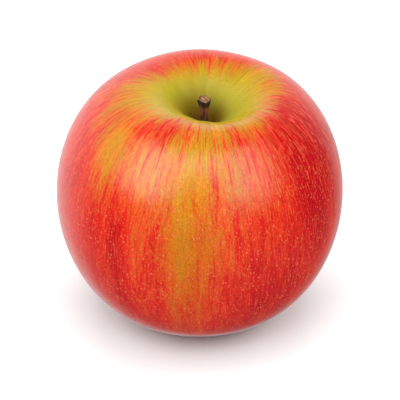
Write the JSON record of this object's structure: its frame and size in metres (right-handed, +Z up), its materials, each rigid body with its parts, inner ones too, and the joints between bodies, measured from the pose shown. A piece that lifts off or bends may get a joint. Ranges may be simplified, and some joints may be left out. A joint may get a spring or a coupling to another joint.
{
  "type": "apple",
  "caption": "Ripe round apple with a short woody stem in its top hollow and a dry calyx in its base; stands on its bumpy foot.",
  "frame": {"origin": "on the table under the middle of the fruit, where the core's line meets it", "axes": "+Z up along the core, from the base to the stem; -Y towards the yellow-striped side; the stem leans towards +X"},
  "size_m": [0.0798, 0.0794, 0.0679],
  "materials": {
    "skin": "waxy, red streaks over yellow-green",
    "bark": "dry, dark brown, tan where it broke",
    "sepal": "dry, papery, woolly at the foot",
    "stamen": "dry, dark brown"
  },
  "bodies": {
    "root": {"fruit": "skin", "stem": "bark", "sepal_1": "sepal", "sepal_2": "sepal", "sepal_3": "sepal", "sepal_4": "sepal", "sepal_5": "sepal", "stamen_01": "stamen", "stamen_02": "stamen", "stamen_03": "stamen", "stamen_04": "stamen", "stamen_05": "stamen", "stamen_06": "stamen", "stamen_07": "stamen", "stamen_08": "stamen", "stamen_09": "stamen", "stamen_10": "stamen"}
  },
  "joints": []
}
